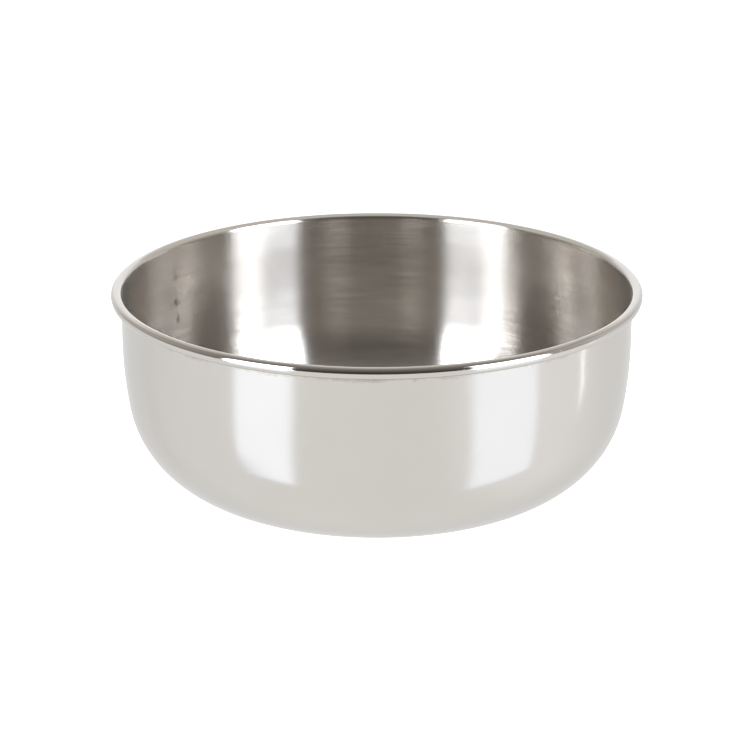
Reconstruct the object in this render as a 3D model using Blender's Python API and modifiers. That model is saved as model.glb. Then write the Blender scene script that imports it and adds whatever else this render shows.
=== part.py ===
"""Mixing bowl, drawn in one piece from a disc of stainless steel sheet, its edge curled outward into a bead.

Metres, +Z up. The origin is the centre of the circle that the bowl stands on.
The bowl is one solid: the middle of the sheet's thickness is drawn as a profile of lines and arcs, turned
about the Z axis and given the sheet's thickness.
"""

import math

import bpy

# Driving dimensions, in metres. Radii of the bends are those of the bowl's outside.
RIM_DIAMETER = 0.240  # across the outside of the bead
HEIGHT = 0.093  # from the standing ring to the top of the bead
SHEET = 0.0007  # thickness of the steel
BEAD_DIAMETER = 0.0052  # outside of the curled edge
CURL_GAP = 0.0003  # between the cut edge of the curl and the wall
CORNER_RADIUS = 0.047  # bend from the base into the wall
HAUNCH_RADIUS = 0.195  # gentler bend from the corner to the upright part of the wall
HAUNCH_TURN = math.radians(9)  # how far the haunch turns
STAND_WIDTH = 0.006  # flat ring that the bowl stands on
PANEL_RISE = 0.0008  # how far the base is pushed up inside the standing ring
PANEL_BEND_RADIUS = 0.004  # both bends of the step between the ring and the raised panel

# Fineness of the facets.
STEPS_AROUND = 60
CORNER_STEPS = 11
HAUNCH_STEPS = 2
CURL_STEPS = 14
PANEL_BEND_STEPS = 2

STEEL_COLOUR = (0.62, 0.60, 0.57, 1.0)
STEEL_ROUGHNESS = 0.22
MERGE_DISTANCE = 0.00001  # joins the turned copies of the point on the axis


def clear_scene():
    """Removes every object that the file opened with."""
    for existing in list(bpy.data.objects):
        bpy.data.objects.remove(existing)


def steel():
    """The bowl's one material."""
    material = bpy.data.materials.new("stainless_steel")
    material.use_nodes = True
    shader = material.node_tree.nodes["Principled BSDF"]
    shader.inputs["Base Color"].default_value = STEEL_COLOUR
    shader.inputs["Metallic"].default_value = 1.0
    shader.inputs["Roughness"].default_value = STEEL_ROUGHNESS
    return material


def arc(centre, radius, start, end, steps):
    """Points (x, z) along an arc, from the angle start to the angle end, both in radians from +X."""
    angles = [start + (end - start) * i / steps for i in range(steps + 1)]
    return [(centre[0] + radius * math.cos(a), centre[1] + radius * math.sin(a)) for a in angles]


def curl_profile(wall_x, half_sheet):
    """The bead: up the inside, over the top, and round underneath until the cut edge nears the wall."""
    radius = BEAD_DIAMETER / 2 - half_sheet
    centre = (wall_x + radius, HEIGHT - BEAD_DIAMETER / 2)
    room = radius - half_sheet - CURL_GAP
    under = math.acos(-room / (BEAD_DIAMETER / 2))
    return arc(centre, radius, math.pi, -under, CURL_STEPS)


def wall_profile(wall_x, half_sheet):
    """The corner and the haunch, which meet with one tangent, as far as the upright part of the wall."""
    corner = CORNER_RADIUS - half_sheet
    haunch = HAUNCH_RADIUS - half_sheet
    corner_centre = (
        wall_x - haunch + (haunch - corner) * math.cos(HAUNCH_TURN),
        CORNER_RADIUS,
    )
    haunch_centre = (wall_x - haunch, CORNER_RADIUS + (haunch - corner) * math.sin(HAUNCH_TURN))
    bend = arc(corner_centre, corner, -math.pi / 2, -HAUNCH_TURN, CORNER_STEPS)
    return bend + arc(haunch_centre, haunch, -HAUNCH_TURN, 0, HAUNCH_STEPS)[1:]


def base_profile(stand_x, half_sheet):
    """The raised panel from the axis outward, and the step down from it to the standing ring's inner edge."""
    turn = math.acos(1 - PANEL_RISE / (2 * PANEL_BEND_RADIUS))
    run = PANEL_BEND_RADIUS * math.sin(turn)
    ring_x = stand_x - STAND_WIDTH
    top = half_sheet + PANEL_RISE
    upper = arc(
        (ring_x - 2 * run, top - PANEL_BEND_RADIUS),
        PANEL_BEND_RADIUS,
        math.pi / 2,
        math.pi / 2 - turn,
        PANEL_BEND_STEPS,
    )
    lower = arc(
        (ring_x, half_sheet + PANEL_BEND_RADIUS),
        PANEL_BEND_RADIUS,
        -math.pi / 2 - turn,
        -math.pi / 2,
        PANEL_BEND_STEPS,
    )
    return [(0, top)] + upper + lower[1:]


def bowl_profile():
    """The whole line (x, z) along the middle of the sheet, from the centre of the base to the cut edge."""
    half_sheet = SHEET / 2
    wall_x = RIM_DIAMETER / 2 - BEAD_DIAMETER + half_sheet
    wall = wall_profile(wall_x, half_sheet)
    stand_x = wall[0][0]
    return base_profile(stand_x, half_sheet) + wall + curl_profile(wall_x, half_sheet)


def turned(name, profile, collection):
    """An open profile turned a full circle about Z."""
    mesh = bpy.data.meshes.new(name)
    points = [(x, 0, z) for x, z in profile]
    mesh.from_pydata(points, [(i, i + 1) for i in range(len(points) - 1)], [])
    shape = bpy.data.objects.new(name, mesh)
    collection.objects.link(shape)
    screw = shape.modifiers.new("turn", "SCREW")
    screw.axis = "Z"
    screw.steps = STEPS_AROUND
    screw.render_steps = STEPS_AROUND
    screw.use_merge_vertices = True
    screw.merge_threshold = MERGE_DISTANCE
    screw.use_smooth_shade = True
    return shape


def give_thickness(shape):
    """Thickens a surface to the sheet's thickness, half of it to each side."""
    solidify = shape.modifiers.new("sheet", "SOLIDIFY")
    solidify.thickness = SHEET
    solidify.offset = 0
    solidify.use_even_offset = True


def main():
    """Builds the bowl in its own collection."""
    clear_scene()
    collection = bpy.data.collections.new("mixing_bowl")
    bpy.context.scene.collection.children.link(collection)
    bowl = turned("bowl", bowl_profile(), collection)
    give_thickness(bowl)
    bowl.data.materials.append(steel())


main()
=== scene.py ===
"""A stainless steel mixing bowl: one spun sheet, mirror-polished outside and on its bead, brushed inside."""

import logging
import math
from dataclasses import dataclass, field
from enum import Enum

import bpy
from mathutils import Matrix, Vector


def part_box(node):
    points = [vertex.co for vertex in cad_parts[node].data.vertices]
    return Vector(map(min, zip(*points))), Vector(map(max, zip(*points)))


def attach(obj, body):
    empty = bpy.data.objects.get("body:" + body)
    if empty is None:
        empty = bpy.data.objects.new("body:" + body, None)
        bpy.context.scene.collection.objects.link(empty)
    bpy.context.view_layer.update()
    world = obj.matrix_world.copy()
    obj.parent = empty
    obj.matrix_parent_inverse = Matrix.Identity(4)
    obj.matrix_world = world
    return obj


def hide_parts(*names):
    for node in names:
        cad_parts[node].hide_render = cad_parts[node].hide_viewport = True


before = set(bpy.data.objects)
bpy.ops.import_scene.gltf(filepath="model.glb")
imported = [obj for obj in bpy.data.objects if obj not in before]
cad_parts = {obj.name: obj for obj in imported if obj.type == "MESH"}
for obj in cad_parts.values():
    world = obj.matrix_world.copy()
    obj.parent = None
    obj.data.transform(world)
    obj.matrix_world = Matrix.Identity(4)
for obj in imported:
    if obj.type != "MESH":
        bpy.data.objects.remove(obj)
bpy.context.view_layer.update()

LOG = logging.getLogger("mixing_bowl")
FULL_TURN = 2 * math.pi
NOISE_LOW, NOISE_HIGH = 0.35, 0.65  # nearly all values of a noise lie between these
WHITE = (1.0, 1.0, 1.0)
BLACK = (0.0, 0.0, 0.0)
Colour = tuple[float, float, float]
Place = tuple[float, float, float]


class Stretch(Enum):
    """The stretches of the sheet's surface that are finished differently. The value is the material slot."""

    INSIDE = 0
    BEAD = 1
    OUTSIDE = 2
    CUT_EDGE = 3


class Wiring:
    """Places nodes in one node tree and joins their sockets."""

    def __init__(self, tree: bpy.types.NodeTree) -> None:
        """Starts on an empty tree.

        Args:
            tree: the node tree that this object fills.
        """
        self.tree = tree
        self.tree.nodes.clear()

    def node(self, kind: str, **settings: object) -> bpy.types.Node:
        """Adds one node.

        Args:
            kind: the node's type name.
            settings: values for the node's own properties.

        Returns:
            The new node.
        """
        made = self.tree.nodes.new(kind)
        for name, value in settings.items():
            setattr(made, name, value)
        return made

    def feed(self, target: bpy.types.NodeSocket, value: object) -> None:
        """Gives a socket its value.

        Args:
            target: the socket that receives it.
            value: another socket, which is linked, or a plain value.
        """
        if isinstance(value, bpy.types.NodeSocket):
            self.tree.links.new(value, target)
        else:
            target.default_value = value

    def maths(self, operation: str, *values: object, clamp: bool = False) -> bpy.types.NodeSocket:
        """Adds a Math node.

        Args:
            operation: the operation's name.
            values: numbers or sockets, in order.
            clamp: whether the result is kept between 0 and 1.

        Returns:
            The result's socket.
        """
        made = self.node("ShaderNodeMath", operation=operation, use_clamp=clamp)
        for target, value in zip(made.inputs, values):
            self.feed(target, value)
        return made.outputs["Value"]

    def vector(self, x: object, y: object, z: object) -> bpy.types.NodeSocket:
        """Joins three parts into a vector.

        Args:
            x: a number or a socket.
            y: a number or a socket.
            z: a number or a socket.

        Returns:
            The vector's socket.
        """
        made = self.node("ShaderNodeCombineXYZ")
        for target, value in zip(made.inputs, (x, y, z)):
            self.feed(target, value)
        return made.outputs["Vector"]

    def vector_maths(self, operation: str, *vectors: object, scale: object = 1.0) -> bpy.types.NodeSocket:
        """Adds a Vector Math node.

        Args:
            operation: the operation's name.
            vectors: vectors or sockets, in order.
            scale: the factor of a SCALE operation.

        Returns:
            The result's socket.
        """
        made = self.node("ShaderNodeVectorMath", operation=operation)
        for target, value in zip(made.inputs, vectors):
            self.feed(target, value)
        if operation == "SCALE":
            self.feed(made.inputs["Scale"], scale)
        return made.outputs["Vector"]

    def parts(self, vector: bpy.types.NodeSocket) -> bpy.types.NodeOutputs:
        """Splits a vector.

        Args:
            vector: the vector's socket.

        Returns:
            Its X, Y and Z sockets.
        """
        made = self.node("ShaderNodeSeparateXYZ")
        self.feed(made.inputs["Vector"], vector)
        return made.outputs

    def noise(self, vector: bpy.types.NodeSocket, scale: object, detail: float, roughness: float = 0.5
              ) -> bpy.types.NodeSocket:
        """Adds a Noise Texture.

        Args:
            vector: where the texture is read.
            scale: its scale, a number or a socket.
            detail: the number of octaves.
            roughness: how strongly the finer octaves show.

        Returns:
            The socket of the noise's value, which stays near 0.5.
        """
        made = self.node("ShaderNodeTexNoise", noise_dimensions="3D")
        self.feed(made.inputs["Vector"], vector)
        self.feed(made.inputs["Scale"], scale)
        made.inputs["Detail"].default_value = detail
        made.inputs["Roughness"].default_value = roughness
        return made.outputs["Fac"]

    def ranged(self, value: object, low: object, high: object, to_low: object, to_high: object
               ) -> bpy.types.NodeSocket:
        """Maps low..high onto to_low..to_high smoothly, and keeps the result between them.

        Args:
            value: the value that is mapped.
            low: the value that becomes to_low.
            high: the value that becomes to_high.
            to_low: the result at low.
            to_high: the result at high.

        Returns:
            The result's socket.
        """
        made = self.node("ShaderNodeMapRange", interpolation_type="SMOOTHSTEP")
        for name, given in (("Value", value), ("From Min", low), ("From Max", high),
                            ("To Min", to_low), ("To Max", to_high)):
            self.feed(made.inputs[name], given)
        return made.outputs["Result"]

    def mixed(self, share: object, first: object, second: object) -> bpy.types.NodeSocket:
        """Mixes two colours.

        Args:
            share: how much of the second colour is used.
            first: a colour or a socket.
            second: a colour or a socket.

        Returns:
            The mixed colour's socket.
        """
        made = self.node("ShaderNodeMix", data_type="RGBA")
        self.feed(made.inputs["Factor"], share)
        self.feed(made.inputs["A"], first)
        self.feed(made.inputs["B"], second)
        return made.outputs["Result"]


def rgba(colour: Colour) -> tuple[float, float, float, float]:
    """The colour with full opacity."""
    return (*colour, 1.0)


def put_in_scene(name: str, data: bpy.types.ID) -> bpy.types.Object:
    """Makes an object and puts it in the scene.

    Args:
        name: the object's name.
        data: its mesh, light or camera.

    Returns:
        The object.
    """
    made = bpy.data.objects.new(name, data)
    bpy.context.scene.collection.objects.link(made)
    return made


class Effect:
    """A shader node group: an effect that several finishes share, each with its own values."""

    def __init__(self, name: str, inputs: dict[str, tuple[str, object]], outputs: dict[str, str]) -> None:
        """Makes the group and its sockets.

        Args:
            name: the group's name.
            inputs: name of each input, with its socket type and default value.
            outputs: name of each output, with its socket type.
        """
        self.tree = bpy.data.node_groups.new(name, "ShaderNodeTree")
        for label, (kind, value) in inputs.items():
            socket = self.tree.interface.new_socket(label, in_out="INPUT", socket_type=kind)
            if value is not None:
                socket.default_value = value
        for label, kind in outputs.items():
            self.tree.interface.new_socket(label, in_out="OUTPUT", socket_type=kind)
        self.wiring = Wiring(self.tree)
        self.given = self.wiring.node("NodeGroupInput").outputs
        self.result = self.wiring.node("NodeGroupOutput").inputs
        self.build()

    def build(self) -> None:
        """Fills the group. Each effect has its own."""
        raise NotImplementedError

    def place(self, wiring: Wiring, **values: object) -> bpy.types.NodeOutputs:
        """Puts the group in a material.

        Args:
            wiring: the material's wiring.
            values: a number or a socket for each input, with _ for a space in its name.

        Returns:
            The group node's outputs.
        """
        made = wiring.node("ShaderNodeGroup", node_tree=self.tree)
        for name, value in values.items():
            wiring.feed(made.inputs[name.replace("_", " ")], value)
        return made.outputs


FLOAT = "NodeSocketFloat"
VECTOR = "NodeSocketVector"


class TurnedGrain(Effect):
    """Fine lines that run round the bowl, as an abrasive leaves them while the bowl turns."""

    BANDS_PER_LINE = 0.11

    def __init__(self) -> None:
        """Makes the group."""
        super().__init__(
            "turned_grain",
            {"Sheet": (VECTOR, None), "Lines per Metre": (FLOAT, 1500.0), "Runs per Turn": (FLOAT, 3.0)},
            {"Lines": FLOAT, "Bands": FLOAT},
        )

    def build(self) -> None:
        """Reads noise that is stretched round the turn, once for the lines and once for broader bands."""
        w = self.wiring
        turn, along, _ = w.parts(self.given["Sheet"])
        angle = w.maths("MULTIPLY", turn, FULL_TURN)
        east = w.maths("MULTIPLY", w.maths("COSINE", angle), self.given["Runs per Turn"])
        north = w.maths("MULTIPLY", w.maths("SINE", angle), self.given["Runs per Turn"])
        fine = w.maths("MULTIPLY", along, self.given["Lines per Metre"])
        broad = w.maths("MULTIPLY", fine, self.BANDS_PER_LINE)
        w.feed(self.result["Lines"], w.noise(w.vector(east, north, fine), 1.0, 2.0, 0.65))
        w.feed(self.result["Bands"], w.noise(w.vector(east, north, broad), 1.0, 3.0, 0.5))


class HairlineScratches(Effect):
    """Sparse thin scratches from stacking, wiping and whisks, crossing the grain at several slants."""

    SLANTS_DEGREES = (23.0, -14.0, 61.0, -48.0)
    ALONG_PER_METRE = 28.0  # features of the noise in a metre along a scratch
    ACROSS_PER_METRE = 1700.0  # and across it
    SHIFT = 7.3  # takes each slant to another part of the noise
    FADE = 0.08  # how much of the noise's range lies between bare steel and a full scratch

    def __init__(self) -> None:
        """Makes the group."""
        super().__init__(
            "hairline_scratches",
            {"Sheet": (VECTOR, None), "Girth": (FLOAT, 0.7), "Rarity": (FLOAT, 0.66)},
            {"Scratches": FLOAT},
        )

    def build(self) -> None:
        """Adds up one field of stretched noise for each slant, cut off so that only its peaks are left."""
        w = self.wiring
        turn, along, _ = w.parts(self.given["Sheet"])
        around = w.maths("MULTIPLY", turn, self.given["Girth"])
        full = w.maths("ADD", self.given["Rarity"], self.FADE)
        total = 0.0
        for index, slant in enumerate(self.SLANTS_DEGREES):
            cosine, sine = math.cos(math.radians(slant)), math.sin(math.radians(slant))
            lengthways = w.maths("MULTIPLY_ADD", around, cosine, w.maths("MULTIPLY", along, sine))
            crossways = w.maths("MULTIPLY_ADD", around, -sine, w.maths("MULTIPLY", along, cosine))
            place = w.vector(
                w.maths("MULTIPLY", lengthways, self.ALONG_PER_METRE),
                w.maths("MULTIPLY", crossways, self.ACROSS_PER_METRE),
                self.SHIFT * index)
            peaks = w.noise(place, 1.0, 1.0)
            total = w.maths("ADD", total, w.ranged(peaks, self.given["Rarity"], full, 0.0, 1.0))
        w.feed(self.result["Scratches"], w.maths("MINIMUM", total, 1.0))


class WipedHaze(Effect):
    """Uneven clouding of a polished surface, as wiping and handling leave it."""

    SMEARS_PER_CLOUD = 2.4
    SMEAR_FLATNESS = 5.0  # how many times longer a smear is than it is high

    def __init__(self) -> None:
        """Makes the group."""
        super().__init__(
            "wiped_haze",
            {"Place": (VECTOR, None), "Clouds per Metre": (FLOAT, 22.0)},
            {"Haze": FLOAT, "Smears": FLOAT},
        )

    def build(self) -> None:
        """Reads soft clouds, and finer smears that lie level."""
        w = self.wiring
        place = self.given["Place"]
        x, y, z = w.parts(place)
        clouds = w.noise(place, self.given["Clouds per Metre"], 4.0, 0.55)
        w.feed(self.result["Haze"], w.ranged(clouds, 0.35, 0.68, 0.0, 1.0))
        flattened = w.vector(x, y, w.maths("MULTIPLY", z, self.SMEAR_FLATNESS))
        smears_per_metre = w.maths("MULTIPLY", self.given["Clouds per Metre"], self.SMEARS_PER_CLOUD)
        smears = w.noise(flattened, smears_per_metre, 5.0, 0.6)
        w.feed(self.result["Smears"], w.ranged(smears, 0.40, 0.70, 0.0, 1.0))


class PressWaves(Effect):
    """The slow unevenness that spinning and pressing leave in a sheet, which bends reflections a little."""

    def __init__(self) -> None:
        """Makes the group."""
        super().__init__(
            "press_waves",
            {"Place": (VECTOR, None), "Waves per Metre": (FLOAT, 18.0), "Depth": (FLOAT, 0.00002)},
            {"Height": FLOAT},
        )

    def build(self) -> None:
        """Reads smooth noise and gives it a depth in metres."""
        w = self.wiring
        waves = w.noise(self.given["Place"], self.given["Waves per Metre"], 1.0, 0.3)
        w.feed(self.result["Height"], w.maths("MULTIPLY", waves, self.given["Depth"]))


class BeadShadeAndResidue(Effect):
    """Painted shade and polishing compound in the crevice right under the bead, patchy round the bowl: the
    darkening stands in partly for the bead's shade and its reflection in the wall, partly for the compound.
    """

    PATCHES_PER_METRE = 55.0
    SPECKS_PER_METRE = 420.0

    def __init__(self) -> None:
        """Makes the group."""
        super().__init__(
            "bead_shade_and_residue",
            {"Place": (VECTOR, None), "Crevice Height": (FLOAT, 0.088), "Reach": (FLOAT, 0.003)},
            {"Shade and Residue": FLOAT},
        )

    def build(self) -> None:
        """Fades downwards from the crevice, sooner where the patches are thin."""
        w = self.wiring
        place = self.given["Place"]
        _, _, z = w.parts(place)
        below = w.maths("DIVIDE", w.maths("SUBTRACT", self.given["Crevice Height"], z), self.given["Reach"])
        patches = w.ranged(w.noise(place, self.PATCHES_PER_METRE, 3.0, 0.6), NOISE_LOW, NOISE_HIGH, 0.3, 1.0)
        specks = w.ranged(w.noise(place, self.SPECKS_PER_METRE, 2.0, 0.6), 0.3, 0.7, 0.8, 1.05)
        depth = w.maths("SUBTRACT", w.maths("MULTIPLY", patches, specks), below)
        under_bead = w.ranged(below, -1.2, -0.6, 0.0, 1.0)
        w.feed(self.result["Shade and Residue"], w.maths("MULTIPLY", w.ranged(depth, 0.0, 0.8, 0.0, 1.0), under_bead))


@dataclass(frozen=True)
class Effects:
    """The effects that the finishes share, built once."""

    grain: TurnedGrain
    scratches: HairlineScratches
    haze: WipedHaze
    waves: PressWaves
    # painted shade and residue under the bead
    shade_and_residue: BeadShadeAndResidue


@dataclass(frozen=True)
class DentShade:
    """A small dull knock in the inside of the wall, taller than it is wide, drawn as painted shade: the steel
    is darkened there and the mesh is not pressed in.
    """

    SQUEEZE = 0.16  # metres for each radian round the wall: more than its radius, so a dent is narrow

    bearing: float  # degrees round the bowl from the back, positive towards +X
    height: float  # metres above the table
    reach: float = 0.0034  # how far it spreads up and down, in metres
    darkness: float = 0.65  # how far the painted shade in its middle takes on the shade-and-residue colour

    def mask(self, w: Wiring, place: bpy.types.NodeSocket) -> bpy.types.NodeSocket:
        """How much of the steel the dent darkens.

        Args:
            w: the material's wiring.
            How much of the steel the dent's painted shade darkens.

        Returns:
            A value that is highest in the middle of the dent and 0 away from it.
        """
        x, y, z = w.parts(place)
        turned = w.maths("SUBTRACT", w.maths("ARCTAN2", x, y), math.radians(self.bearing))
        aside = w.maths("MULTIPLY", turned, self.SQUEEZE)
        above = w.maths("SUBTRACT", z, self.height)
        square = w.maths("MULTIPLY_ADD", aside, aside, w.maths("MULTIPLY", above, above))
        return w.ranged(w.maths("SQRT", square), 0.0, self.reach, self.darkness, 0.0)


@dataclass(frozen=True)
class SteelFinish:
    """One finish of the stainless sheet, with the values that it gives to the shared effects."""

    ACROSS_THE_GRAIN = 0.25  # turns from the tangent, which runs round the bowl
    BAND_SHARE = 1 / 3  # how strong a band is beside a line
    SMEAR_SHARE = 0.35  # how much of the dulling is smears, and the rest is clouds

    name: str
    colour: Colour = (0.645, 0.622, 0.592)
    smooth: float = 0.12  # roughness where the surface is cleanest
    dull: float = 0.17  # roughness where haze is thickest
    brushed: float = 0.0  # how much the shine is drawn out across the grain
    lines_per_metre: float = 1500.0
    grain_roughness: float = 0.0  # what the grain adds to the roughness
    grain_shade: float = 0.0  # how much darker the colour is in the grain
    scratch_rarity: float = 0.70
    scratch_roughness: float = 0.1
    scratch_shade: float = 0.0  # how much darker the colour is in a scratch
    haze_shade: float = 0.02  # how much darker the colour is under haze
    wave_depth: float = 0.00002  # metres
    shade_and_residue: float = 0.0  # how much of the steel the painted shade and residue under the bead cover
    # colour of the painted shade and residue under the bead, and of the painted shade in the dents
    shade_and_residue_colour: Colour = (0.24, 0.20, 0.14)
    under_bead_roughness: float = 0.4  # what the full patch under the bead adds to the roughness
    # dents that are drawn only as painted shade
    dent_shades: tuple[DentShade, ...] = ()

    def dress(self, effects: Effects, crevice_height: float) -> bpy.types.Material:
        """Builds the material.

        Args:
            effects: the shared node groups.
            crevice_height: height of the crevice under the bead, in metres.

        Returns:
            The material.
        """
        material = bpy.data.materials.new(self.name)
        material.use_nodes = True
        w = Wiring(material.node_tree)
        coordinates = w.node("ShaderNodeTexCoord").outputs
        sheet, place = coordinates["UV"], coordinates["Object"]
        grain = effects.grain.place(w, Sheet=sheet, Lines_per_Metre=self.lines_per_metre)
        scratches = effects.scratches.place(w, Sheet=sheet, Rarity=self.scratch_rarity)["Scratches"]
        haze = effects.haze.place(w, Place=place)
        colour = self.colour_of(w, grain, haze, scratches)
        roughness = self.roughness_of(w, grain, haze, scratches)
        # Painted shade of the dents: the steel is darkened towards the shade-and-residue colour.
        for dent_shade in self.dent_shades:
            colour = w.mixed(dent_shade.mask(w, place), colour, rgba(self.shade_and_residue_colour))
        # Painted shade under the bead, with residue: the wall just under the crevice is darkened in patches.
        if self.shade_and_residue:
            shaded_and_soiled = effects.shade_and_residue.place(w, Place=place, Crevice_Height=crevice_height)["Shade and Residue"]
            covered = w.maths("MULTIPLY", shaded_and_soiled, self.shade_and_residue)
            colour = w.mixed(covered, colour, rgba(self.shade_and_residue_colour))
            roughness = w.maths("MULTIPLY_ADD", covered, self.under_bead_roughness, roughness)
        shader = w.node("ShaderNodeBsdfPrincipled")
        shader.inputs["Metallic"].default_value = 1.0
        w.feed(shader.inputs["Base Color"], colour)
        w.feed(shader.inputs["Roughness"], roughness)
        w.feed(shader.inputs["Normal"], self.normal_of(w, effects, place))
        if self.brushed:
            shader.inputs["Anisotropic"].default_value = self.brushed
            shader.inputs["Anisotropic Rotation"].default_value = self.ACROSS_THE_GRAIN
            tangent = w.node("ShaderNodeTangent", direction_type="RADIAL", axis="Z")
            w.feed(shader.inputs["Tangent"], tangent.outputs["Tangent"])
        w.feed(w.node("ShaderNodeOutputMaterial").inputs["Surface"], shader.outputs["BSDF"])
        return material

    def colour_of(self, w: Wiring, grain: bpy.types.NodeOutputs, haze: bpy.types.NodeOutputs,
                  scratches: bpy.types.NodeSocket) -> bpy.types.NodeSocket:
        """The steel's colour, darker in the grain, in scratches and under haze.

        Args:
            w: the material's wiring.
            grain: the outputs of the turned grain.
            haze: the outputs of the wiped haze.
            scratches: where the scratches are.

        Returns:
            The colour's socket.
        """
        lines, bands = (w.ranged(grain[kind], NOISE_LOW, NOISE_HIGH, 0.0, 1.0) for kind in ("Lines", "Bands"))
        fine = w.maths("MULTIPLY", lines, self.grain_shade)
        turned = w.maths("MULTIPLY_ADD", bands, self.grain_shade * self.BAND_SHARE, fine)
        hazed = w.maths("MULTIPLY_ADD", haze["Haze"], self.haze_shade, turned)
        shade = w.maths("MULTIPLY_ADD", scratches, self.scratch_shade, hazed)
        return w.mixed(shade, rgba(self.colour), rgba(BLACK))

    def roughness_of(self, w: Wiring, grain: bpy.types.NodeOutputs, haze: bpy.types.NodeOutputs,
                     scratches: bpy.types.NodeSocket) -> bpy.types.NodeSocket:
        """The roughness: haze and smears dull the surface, and grain and scratches add to that.

        Args:
            w: the material's wiring.
            grain: the outputs of the turned grain.
            haze: the outputs of the wiped haze.
            scratches: where the scratches are.

        Returns:
            The roughness's socket.
        """
        clouds = w.maths("MULTIPLY", haze["Haze"], 1.0 - self.SMEAR_SHARE)
        dulled = w.maths("MULTIPLY_ADD", haze["Smears"], self.SMEAR_SHARE, clouds)
        base = w.maths("MULTIPLY_ADD", dulled, self.dull - self.smooth, self.smooth)
        lines = w.ranged(grain["Lines"], 0.3, 0.7, -1.0, 1.0)
        turned = w.maths("MULTIPLY_ADD", lines, self.grain_roughness, base)
        return w.maths("MULTIPLY_ADD", scratches, self.scratch_roughness, turned, clamp=True)

    def normal_of(self, w: Wiring, effects: Effects, place: bpy.types.NodeSocket) -> bpy.types.NodeSocket:
        """The normal, which slow waves in the sheet bend a little.

        Args:
            w: the material's wiring.
            effects: the shared node groups.
            place: the point on the surface, in the bowl's own frame.

        Returns:
            The normal's socket.
        """
        waves = effects.waves.place(w, Place=place, Depth=self.wave_depth)["Height"]
        bump = w.node("ShaderNodeBump")
        bump.inputs["Strength"].default_value = 1.0
        bump.inputs["Distance"].default_value = 1.0
        w.feed(bump.inputs["Height"], waves)
        return bump.outputs["Normal"]


# The outside carries the painted shade and residue under the bead.
OUTSIDE_POLISH = SteelFinish("outside_polish", smooth=0.11, dull=0.15, shade_and_residue=0.5)
BEAD_POLISH = SteelFinish("bead_polish", smooth=0.05, dull=0.09, wave_depth=0.0)
INSIDE_BRUSHED = SteelFinish(
    "inside_brushed", colour=(0.69, 0.66, 0.62), smooth=0.22, dull=0.245, brushed=1.0,
    grain_roughness=0.015, grain_shade=0.14, haze_shade=0.04, lines_per_metre=1200.0,
    scratch_rarity=0.70, scratch_roughness=0.01, scratch_shade=0.05,
    # painted shade of three small dents on the left of the inside wall
    dent_shades=(DentShade(-56.8, 0.0765, darkness=0.4), DentShade(-57.0, 0.064), DentShade(-56.6, 0.0555)),
)
SHEARED_EDGE = SteelFinish("sheared_edge", smooth=0.3, dull=0.4, wave_depth=0.0)
FINISHES = {
    Stretch.INSIDE: INSIDE_BRUSHED,
    Stretch.BEAD: BEAD_POLISH,
    Stretch.OUTSIDE: OUTSIDE_POLISH,
    Stretch.CUT_EDGE: SHEARED_EDGE,
}


@dataclass
class SheetPath:
    """The line along the middle of the sheet, walked from the centre of the base to the cut edge."""

    x: float
    z: float
    heading: float = 0.0  # radians from +X, the way the walk goes
    walked: float = 0.0
    steps: list[tuple[float, float, float, float]] = field(default_factory=list)  # x, z, heading, walked

    def mark(self) -> None:
        """Keeps the present place, heading and distance as a point of the outline."""
        self.steps.append((self.x, self.z, self.heading, self.walked))

    def forward(self, length: float, pieces: int) -> None:
        """Walks straight on.

        Args:
            length: how far, in metres.
            pieces: how many points are kept on the way.
        """
        for _ in range(pieces):
            self.x += length / pieces * math.cos(self.heading)
            self.z += length / pieces * math.sin(self.heading)
            self.walked += length / pieces
            self.mark()

    def bend(self, radius: float, angle: float, pieces: int) -> None:
        """Walks along an arc.

        Args:
            radius: the arc's radius, in metres.
            angle: how far it turns in radians, positive to the left.
            pieces: how many points are kept on the way.
        """
        turn = angle / pieces
        chord = 2 * radius * math.sin(abs(turn) / 2)
        for _ in range(pieces):
            self.x += chord * math.cos(self.heading + turn / 2)
            self.z += chord * math.sin(self.heading + turn / 2)
            self.heading += turn
            self.walked += radius * abs(turn)
            self.mark()


@dataclass(frozen=True)
class SurfacePoint:
    """A point of the outline that is turned into the bowl."""

    x: float
    z: float
    out_x: float  # the way the surface faces there
    out_z: float
    along: float  # distance from the centre of the base, along the sheet
    stretch: Stretch  # the finish of the surface that follows the point


@dataclass
class Skin:
    """The faces of the turned sheet, with the corners' places on the flat sheet and each face's finish."""

    faces: list[tuple[int, ...]] = field(default_factory=list)
    uvs: list[tuple[float, float]] = field(default_factory=list)
    slots: list[int] = field(default_factory=list)

    def add(self, corners: tuple[int, ...], uvs: list[tuple[float, float]], stretch: Stretch) -> None:
        """Adds one face.

        Args:
            corners: the numbers of its points.
            uvs: turns round the bowl and metres along the sheet, for each corner.
            stretch: the stretch of the surface that it lies in.
        """
        self.faces.append(corners)
        self.uvs.extend(uvs)
        self.slots.append(stretch.value)


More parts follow.
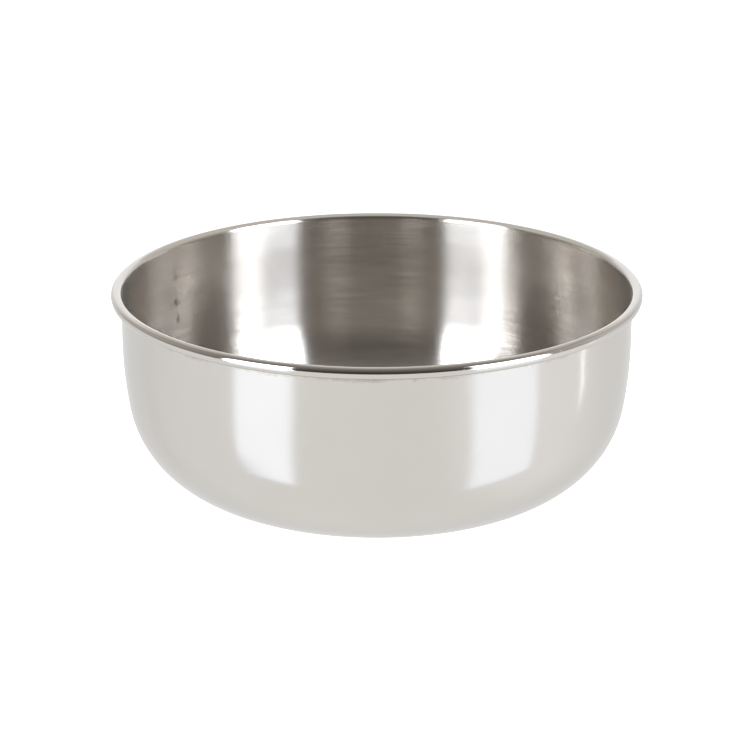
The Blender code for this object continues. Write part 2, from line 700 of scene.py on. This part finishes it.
@dataclass
class BowlSheet:
    """The bowl: base, corner, haunch, wall and curled bead, drawn from one sheet. Sizes in metres."""

    PANEL_POINTS = 12  # outline points kept on each stretch of the walk
    STEP_POINTS = 5
    STAND_POINTS = 2
    CORNER_POINTS = 30
    HAUNCH_POINTS = 8
    WALL_POINTS = 6
    CURL_POINTS = 44
    EDGE_POINTS = 5

    rim_diameter: float
    height: float
    sheet: float = 0.0007
    bead_diameter: float = 0.0052
    curl_gap: float = 0.0003
    corner_radius: float = 0.047
    haunch_radius: float = 0.195
    haunch_turn: float = math.radians(9)
    stand_width: float = 0.006
    panel_rise: float = 0.0008
    panel_bend_radius: float = 0.004
    brushing_ends: float = math.radians(40)  # the sheet's slope where the bead's polish takes over
    segments: int = 288

    def path(self) -> SheetPath:
        """Walks the middle of the sheet.

        Returns:
            The walked path. Its last point is at the cut edge of the curl.
        """
        half = self.sheet / 2
        corner, haunch = self.corner_radius - half, self.haunch_radius - half
        wall_x = self.rim_diameter / 2 - self.bead_diameter + half
        stand_x = wall_x - haunch + (haunch - corner) * math.cos(self.haunch_turn)
        step_turn = math.acos(1 - self.panel_rise / (2 * self.panel_bend_radius))
        step_run = 2 * self.panel_bend_radius * math.sin(step_turn)
        haunch_top = self.corner_radius + (haunch - corner) * math.sin(self.haunch_turn)
        curl = self.bead_diameter / 2 - half
        room = curl - half - self.curl_gap
        under = math.acos(-room / (self.bead_diameter / 2))
        walk = SheetPath(0.0, half + self.panel_rise)
        walk.mark()
        walk.forward(stand_x - self.stand_width - step_run, self.PANEL_POINTS)
        walk.bend(self.panel_bend_radius, -step_turn, self.STEP_POINTS)
        walk.bend(self.panel_bend_radius, step_turn, self.STEP_POINTS)
        walk.forward(self.stand_width, self.STAND_POINTS)
        walk.bend(corner, math.pi / 2 - self.haunch_turn, self.CORNER_POINTS)
        walk.bend(haunch, self.haunch_turn, self.HAUNCH_POINTS)
        walk.forward(self.height - self.bead_diameter / 2 - haunch_top, self.WALL_POINTS)
        walk.bend(curl, -(math.pi + under), self.CURL_POINTS)
        return walk

    def outline(self) -> list[SurfacePoint]:
        """Runs round the sheet: out along its inner face, over the cut edge, and back along its outer face.

        Returns:
            The points in order, from the axis to the axis.
        """
        half = self.sheet / 2
        steps = self.path().steps
        wall_top = self.height - self.bead_diameter / 2
        wall_x = self.rim_diameter / 2 - self.bead_diameter + half
        inner, edge, outer = [], [], []
        for x, z, heading, walked in steps:
            left_x, left_z = -math.sin(heading), math.cos(heading)
            over_the_top = z > wall_top and heading < self.brushing_ends
            face = Stretch.BEAD if over_the_top or x > wall_x + half else Stretch.INSIDE
            inner.append(SurfacePoint(
                x + half * left_x, z + half * left_z, left_x, left_z, walked, face))
            outer.append(SurfacePoint(
                x - half * left_x, z - half * left_z, -left_x, -left_z, walked, Stretch.OUTSIDE))
        x, z, heading, walked = steps[-1]
        for index in range(1, self.EDGE_POINTS + 1):
            angle = heading + math.pi / 2 - math.pi * index / (self.EDGE_POINTS + 1)
            out_x, out_z = math.cos(angle), math.sin(angle)
            edge.append(SurfacePoint(
                x + half * out_x, z + half * out_z, out_x, out_z, walked, Stretch.CUT_EDGE))
        return inner + edge + outer[::-1]

    def turned(self, outline: list[SurfacePoint]) -> tuple[list[Place], list[Place]]:
        """Turns the outline's points about Z.

        Args:
            outline: the points in order, from the axis to the axis.

        Returns:
            The mesh's points and their normals, ring by ring, with the two points on the axis at the end.
        """
        points, normals = [], []
        for ring in outline[1:-1]:
            for step in range(self.segments):
                angle = FULL_TURN * step / self.segments
                east, north = math.cos(angle), math.sin(angle)
                points.append((ring.x * east, ring.x * north, ring.z))
                normals.append((ring.out_x * east, ring.out_x * north, ring.out_z))
        for pole in (outline[0], outline[-1]):
            points.append((0.0, 0.0, pole.z))
            normals.append((0.0, 0.0, pole.out_z))
        return points, normals

    def skin(self, rings: list[SurfacePoint]) -> Skin:
        """Joins the rings with faces and closes both ends on the axis.

        Args:
            rings: the outline's points without the two on the axis.

        Returns:
            The faces, counted on the points that turned() makes.
        """
        skin = Skin()
        last_ring = (len(rings) - 1) * self.segments
        inner_pole = len(rings) * self.segments
        outer_pole = inner_pole + 1
        for index, (ring, after) in enumerate(zip(rings, rings[1:])):
            low, high = index * self.segments, (index + 1) * self.segments
            for step in range(self.segments):
                following = (step + 1) % self.segments
                left, right = step / self.segments, (step + 1) / self.segments
                skin.add(
                    (low + step, high + step, high + following, low + following),
                    [(left, ring.along), (left, after.along), (right, after.along), (right, ring.along)],
                    ring.stretch)
        for step in range(self.segments):
            following = (step + 1) % self.segments
            left, right = step / self.segments, (step + 1) / self.segments
            skin.add(
                (inner_pole, step, following),
                [(left, 0.0), (left, rings[0].along), (right, rings[0].along)],
                Stretch.INSIDE)
            skin.add(
                (outer_pole, last_ring + following, last_ring + step),
                [(left, 0.0), (right, rings[-1].along), (left, rings[-1].along)],
                Stretch.OUTSIDE)
        return skin

    def build(self, finishes: dict[Stretch, bpy.types.Material]) -> bpy.types.Object:
        """Makes the bowl as one closed mesh.

        Args:
            finishes: the material of each stretch.

        Returns:
            The bowl's object.
        """
        outline = self.outline()
        points, normals = self.turned(outline)
        skin = self.skin(outline[1:-1])
        mesh = bpy.data.meshes.new("bowl_sheet")
        mesh.from_pydata(points, [], skin.faces)
        layer = mesh.uv_layers.new(name="sheet")
        layer.uv.foreach_set("vector", [number for uv in skin.uvs for number in uv])
        for stretch in Stretch:
            mesh.materials.append(finishes[stretch])
        mesh.polygons.foreach_set("material_index", skin.slots)
        mesh.shade_smooth()
        mesh.normals_split_custom_set_from_vertices(normals)
        return put_in_scene("bowl_sheet", mesh)


@dataclass(frozen=True)
class LightPanel:
    """A lit or shaded cloth panel of the studio, seen only in the steel. It fades out towards its edges."""

    name: str
    width: float
    height: float
    place: Place  # the middle of the panel, in metres
    tilt: float = math.pi / 2  # radians from facing up: a quarter turn stands the panel upright
    turn: float = 0.0  # radians about Z
    lean: float = 0.0  # how far its upper end leans to the right, as a slope
    spread: float = 0.0  # how much wider each side gets downwards, as a slope
    colour: Colour = WHITE
    low_strength: float = 1.0  # brightness below the step
    high_strength: float = 1.0  # brightness above the step
    step: float = 0.0  # how far above the panel's middle its brightness starts to change
    fade: float = 0.2  # over what height it changes
    softness: float = 0.07  # how wide the edge is over which it fades out
    corner: float = 0.12  # radius of its corners

    def material(self) -> bpy.types.Material:
        """The panel's cloth, with rounded corners that fade out.

        Returns:
            The material.
        """
        material = bpy.data.materials.new(self.name)
        material.use_nodes = True
        w = Wiring(material.node_tree)
        x, y, _ = w.parts(w.node("ShaderNodeTexCoord").outputs["Object"])
        upright = w.maths("MULTIPLY_ADD", y, -self.lean, x)
        sideways = w.maths("MULTIPLY_ADD", y, self.spread, w.maths("ABSOLUTE", upright))
        over_x = w.maths("SUBTRACT", sideways, self.width / 2 - self.corner)
        over_y = w.maths("SUBTRACT", w.maths("ABSOLUTE", y), self.height / 2 - self.corner)
        square_x = w.maths("POWER", w.maths("MAXIMUM", over_x, 0.0), 2.0)
        square_y = w.maths("POWER", w.maths("MAXIMUM", over_y, 0.0), 2.0)
        distance = w.maths("SQRT", w.maths("ADD", square_x, square_y))
        lit = w.ranged(distance, self.corner - self.softness, self.corner, 1.0, 0.0)
        emission = w.node("ShaderNodeEmission")
        emission.inputs["Color"].default_value = rgba(self.colour)
        strength = w.ranged(y, self.step, self.step + self.fade, self.low_strength, self.high_strength)
        w.feed(emission.inputs["Strength"], strength)
        mixer = w.node("ShaderNodeMixShader")
        w.feed(mixer.inputs[0], lit)
        w.feed(mixer.inputs[1], w.node("ShaderNodeBsdfTransparent").outputs["BSDF"])
        w.feed(mixer.inputs[2], emission.outputs["Emission"])
        w.feed(w.node("ShaderNodeOutputMaterial").inputs["Surface"], mixer.outputs["Shader"])
        return material

    def build(self) -> bpy.types.Object:
        """Hangs the panel in its place.

        Returns:
            The panel's object.
        """
        mesh = bpy.data.meshes.new(self.name)
        corners = [
            (sx * (self.width - sy * self.spread * self.height) / 2 + sy * self.lean * self.height / 2,
             sy * self.height / 2, 0.0)
            for sx, sy in ((-1, -1), (1, -1), (1, 1), (-1, 1))]
        mesh.from_pydata(corners, [], [(0, 1, 2, 3)])
        mesh.materials.append(self.material())
        panel = put_in_scene(self.name, mesh)
        panel.location = self.place
        panel.rotation_euler = (self.tilt, 0.0, self.turn)
        panel.visible_camera = False
        panel.visible_diffuse = False
        panel.visible_shadow = False
        return panel


def standing_panel(name: str, inner: tuple[float, float], outer: tuple[float, float], bottom: float,
                   top: float, flare: float = 0.0, spread: float = 0.0, **look: object) -> LightPanel:
    """A panel that stands beside the table, with its foot on the line between two places.

    Args:
        name: the panel's name.
        inner: where its edge nearer the camera stands: degrees from the camera's side, positive towards +X,
            and metres from the bowl.
        outer: where its other edge stands.
        bottom: height of its lower edge above the table, in metres.
        top: height of its upper edge.
        flare: how far it leans outwards for each metre above or below the table.
        spread: how much wider each side gets for each metre below the table.
        look: the panel's colour, strengths and edges.

    Returns:
        The panel.
    """
    near, far = (
        Vector((distance * math.sin(math.radians(azimuth)), -distance * math.cos(math.radians(azimuth))))
        for azimuth, distance in (inner, outer))
    left, right = (near, far) if near.x < far.x else (far, near)
    run = right - left
    middle_height = (top + bottom) / 2
    outwards = math.copysign(flare, near.x) * math.copysign(1.0, middle_height)
    middle = (left + right) / 2 + run.normalized() * outwards * middle_height
    return LightPanel(
        name, run.length - 2 * spread * middle_height, top - bottom, (middle.x, middle.y, middle_height),
        turn=math.atan2(run.y, run.x), lean=outwards, spread=spread, **look)


@dataclass(frozen=True)
class Softbox:
    """A softbox beside the table, and its dimmer image in the table's shine below it."""

    INNER_SHIFT = 0.8  # how many degrees the softbox's edges stand further round than those of its image
    OUTER_SHIFT = 2.7

    side: str
    inner: float  # where its edge nearer the camera stands: degrees from the camera's side, positive to +X
    outer: float  # where its other edge stands
    image_depth: float  # how far below the table its image reaches, in metres
    image_glow: float  # how bright the upper part of its image is
    inner_distance: float = 1.1
    outer_distance: float = 1.6

    def build(self) -> None:
        """Stands the softbox on its side of the table and hangs its image below it."""
        inner = self.inner + math.copysign(self.INNER_SHIFT, self.inner)
        outer = self.outer + math.copysign(self.OUTER_SHIFT, self.outer)
        standing_panel(
            f"{self.side}_softbox", (inner, self.inner_distance), (outer, self.outer_distance),
            -0.06, 1.45, flare=0.14, colour=(0.96, 1.0, 1.08),
            low_strength=9.4, high_strength=3.7, step=0.1, fade=0.5, softness=0.08, corner=0.14).build()
        standing_panel(
            f"{self.side}_softbox_in_table",
            (self.inner, self.inner_distance), (self.outer, self.outer_distance),
            -self.image_depth, 0.06, flare=0.275, spread=0.085, colour=(0.965, 1.0, 1.06),
            low_strength=1.0, high_strength=self.image_glow, step=-self.image_depth / 2 - 0.03, fade=0.34,
            softness=0.13, corner=0.20).build()


@dataclass(frozen=True)
class Studio:
    """The plain white table, the light round it and the camera."""

    # How far to the back and up a direction points, and how bright the room is there.
    ROOM_LEVELS = ((-1.0, 0.06), (-0.65, 0.07), (-0.3, 0.15), (0.14, 0.26), (0.65, 0.44), (0.92, 1.12))

    bowl_height: float
    camera_distance: float = 1.2
    camera_elevation: float = math.radians(19.3)
    sensor_width: float = 36.0  # millimetres
    lens_length: float = 125.616  # millimetres
    aim_left: float = 0.0008  # how far left of the bowl's middle it looks, in metres
    aim_up: float = 0.0024  # how far above it
    front_colour: Colour = (0.965, 0.97, 0.94)  # the white sweep towards the camera
    left_colour: Colour = (0.98, 0.975, 0.965)
    right_colour: Colour = (1.06, 1.05, 1.05)
    back_colour: Colour = (0.83, 0.83, 0.83)
    room_colour: Colour = (1.0, 0.90, 0.78)
    room_left: float = 1.5  # how much brighter the room is on the far left than in front
    room_right: float = 2.1  # and on the far right
    table_colour: Colour = (0.8, 0.8, 0.8)
    table_glow: float = 0.85
    table_reach: float = 12.0
    table_drop: float = 0.0001  # how far the table lies below the bowl
    lamp_size: float = 2.5  # across, in metres
    lamp_watts: float = 30.0
    lamp_height: float = 2.0

    def camera(self) -> bpy.types.Object:
        """Places the camera.

        Returns:
            The camera's object.
        """
        data = bpy.data.cameras.new("camera")
        data.sensor_width = self.sensor_width
        data.lens = self.lens_length
        made = put_in_scene("camera", data)
        back = Vector((0.0, -math.cos(self.camera_elevation), math.sin(self.camera_elevation)))
        middle = Vector((0.0, 0.0, self.bowl_height / 2))
        made.location = middle + back * self.camera_distance
        aim = middle + Vector((-self.aim_left, 0.0, self.aim_up))
        made.rotation_euler = (aim - made.location).to_track_quat("-Z", "Y").to_euler()
        bpy.context.scene.camera = made
        return made

    def table(self) -> bpy.types.Object:
        """Lays the table: white, bright enough to have almost no shadow. It isn't seen in the bowl's shine.

        Returns:
            The table's object.
        """
        material = bpy.data.materials.new("white_table")
        material.use_nodes = True
        w = Wiring(material.node_tree)
        shader = w.node("ShaderNodeBsdfPrincipled")
        shader.inputs["Base Color"].default_value = rgba(self.table_colour)
        shader.inputs["Roughness"].default_value = 0.9
        shader.inputs["Emission Color"].default_value = rgba(WHITE)
        shader.inputs["Emission Strength"].default_value = self.table_glow
        w.feed(w.node("ShaderNodeOutputMaterial").inputs["Surface"], shader.outputs["BSDF"])
        mesh = bpy.data.meshes.new("table_top")
        corners = [
            (sx * self.table_reach, sy * self.table_reach, -self.table_drop)
            for sx, sy in ((-1, -1), (1, -1), (1, 1), (-1, 1))]
        mesh.from_pydata(corners, [], [(0, 1, 2, 3)])
        mesh.materials.append(material)
        made = put_in_scene("table_top", mesh)
        made.visible_glossy = False
        made.visible_shadow = False
        return made

    def sweep(self, w: Wiring, x: bpy.types.NodeSocket, y: bpy.types.NodeSocket) -> bpy.types.NodeSocket:
        """The white sweep, which the steel mirrors wherever it looks down.

        Args:
            w: the world's wiring.
            x: how far to the right a direction points.
            y: how far to the back it points.

        Returns:
            The sweep's colour in that direction.
        """
        to_left = w.ranged(x, -0.75, -0.35, 1.0, 0.0)
        to_right = w.ranged(x, 0.35, 0.75, 0.0, 1.0)
        to_back = w.ranged(y, 0.0, 0.9, 0.0, 1.0)
        colour = w.mixed(to_left, rgba(self.front_colour), rgba(self.left_colour))
        colour = w.mixed(to_right, colour, rgba(self.right_colour))
        return w.mixed(to_back, colour, rgba(self.back_colour))

    def room(self, w: Wiring, x: bpy.types.NodeSocket, y: bpy.types.NodeSocket,
             z: bpy.types.NodeSocket) -> bpy.types.NodeSocket:
        """The dark room above the table, which grows lighter and less warm to the back and to the sides.

        Args:
            w: the world's wiring.
            x: how far to the right a direction points.
            y: how far to the back it points.
            z: how far up it points.

        Returns:
            The room's colour in that direction.
        """
        ramp = w.node("ShaderNodeValToRGB")
        elements = ramp.color_ramp.elements
        while len(elements) < len(self.ROOM_LEVELS):
            elements.new(0.5)
        for element, (facing, level) in zip(elements, self.ROOM_LEVELS):
            element.position = 0.5 + 0.5 * facing
            warmth = max(1.0 - level, 0.0)
            element.color = rgba(tuple(
                level * (1.0 - warmth * (1.0 - channel)) for channel in self.room_colour))
        backward = w.maths("MULTIPLY_ADD", y, 0.9, w.maths("MULTIPLY", z, 0.3))
        w.feed(ramp.inputs["Fac"], w.maths("MULTIPLY_ADD", backward, 0.5, 0.5))
        left = w.ranged(x, -1.0, -0.5, self.room_left, 1.0)
        right = w.ranged(x, 0.5, 1.0, 1.0, self.room_right)
        return w.vector_maths("SCALE", ramp.outputs["Color"], scale=w.maths("MULTIPLY", left, right))

    def surroundings(self) -> None:
        """Sets the world: white where the camera looks past the bowl, and a studio where the steel looks."""
        world = bpy.data.worlds.new("studio")
        world.use_nodes = True
        bpy.context.scene.world = world
        w = Wiring(world.node_tree)
        x, y, z = w.parts(w.node("ShaderNodeTexCoord").outputs["Generated"])
        above_table = w.ranged(z, -0.03, 0.0, 0.0, 1.0)
        seen = w.node("ShaderNodeBackground")
        seen.inputs["Color"].default_value = rgba(WHITE)
        mirrored = w.node("ShaderNodeBackground")
        w.feed(mirrored.inputs["Color"], w.mixed(above_table, self.sweep(w, x, y), self.room(w, x, y, z)))
        mixer = w.node("ShaderNodeMixShader")
        w.feed(mixer.inputs[0], w.node("ShaderNodeLightPath").outputs["Is Camera Ray"])
        w.feed(mixer.inputs[1], mirrored.outputs["Background"])
        w.feed(mixer.inputs[2], seen.outputs["Background"])
        w.feed(w.node("ShaderNodeOutputWorld").inputs["Surface"], mixer.outputs["Shader"])

    def panels(self) -> None:
        """Hangs what the steel mirrors: two softboxes, a narrow strip, a stand and a low ceiling."""
        Softbox("left", -29.5, -61.1, 1.20, 1.48).build()
        Softbox("right", 34.4, 70.4, 1.42, 1.40).build()
        standing_panel(
            "strip", (98.6, 1.1), (99.8, 1.1), -0.46, -0.12,
            low_strength=1.2, high_strength=4.0, step=-0.15, fade=0.2, softness=0.010, corner=0.011).build()
        standing_panel(
            "stand", (-110.0, 1.1), (-139.0, 1.1), -0.9, 0.1,
            low_strength=0.86, high_strength=0.86, softness=0.24, corner=0.25).build()
        LightPanel(
            "ceiling", 0.5, 0.42, (0.0, 0.21, 0.31), tilt=math.pi, colour=(1.0, 0.97, 0.91),
            low_strength=0.72, high_strength=0.72, softness=0.03, corner=0.05).build()

    def overhead(self) -> bpy.types.Object:
        """Hangs a wide lamp that lights the table but isn't seen in the steel.

        Returns:
            The lamp's object.
        """
        data = bpy.data.lights.new("overhead", "AREA")
        data.shape = "DISK"
        data.size = self.lamp_size
        data.energy = self.lamp_watts
        made = put_in_scene("overhead", data)
        made.location = (0.0, 0.0, self.lamp_height)
        made.visible_glossy = False
        made.visible_camera = False
        return made

    def build(self) -> None:
        """Sets up everything round the bowl."""
        self.camera()
        self.table()
        self.surroundings()
        self.overhead()
        self.panels()
        scene = bpy.context.scene
        scene.view_settings.view_transform = "Standard"
        scene.cycles.glossy_bounces = 8


def main() -> None:
    """Builds the studio and the bowl, and reports what was made."""
    logging.basicConfig(level=logging.INFO, format="%(name)s: %(message)s")
    low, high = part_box("bowl")
    sheet = BowlSheet(high.x - low.x, high.z - low.z)
    Studio(sheet.height).build()
    effects = Effects(TurnedGrain(), HairlineScratches(), WipedHaze(), PressWaves(), BeadShadeAndResidue())
    crevice_height = sheet.height - sheet.bead_diameter
    bowl = sheet.build({
        stretch: finish.dress(effects, crevice_height) for stretch, finish in FINISHES.items()})
    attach(bowl, "root")
    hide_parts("bowl")
    LOG.info("%s: %d faces", bowl.name, len(bowl.data.polygons))


if __name__ == "__main__":
    main()
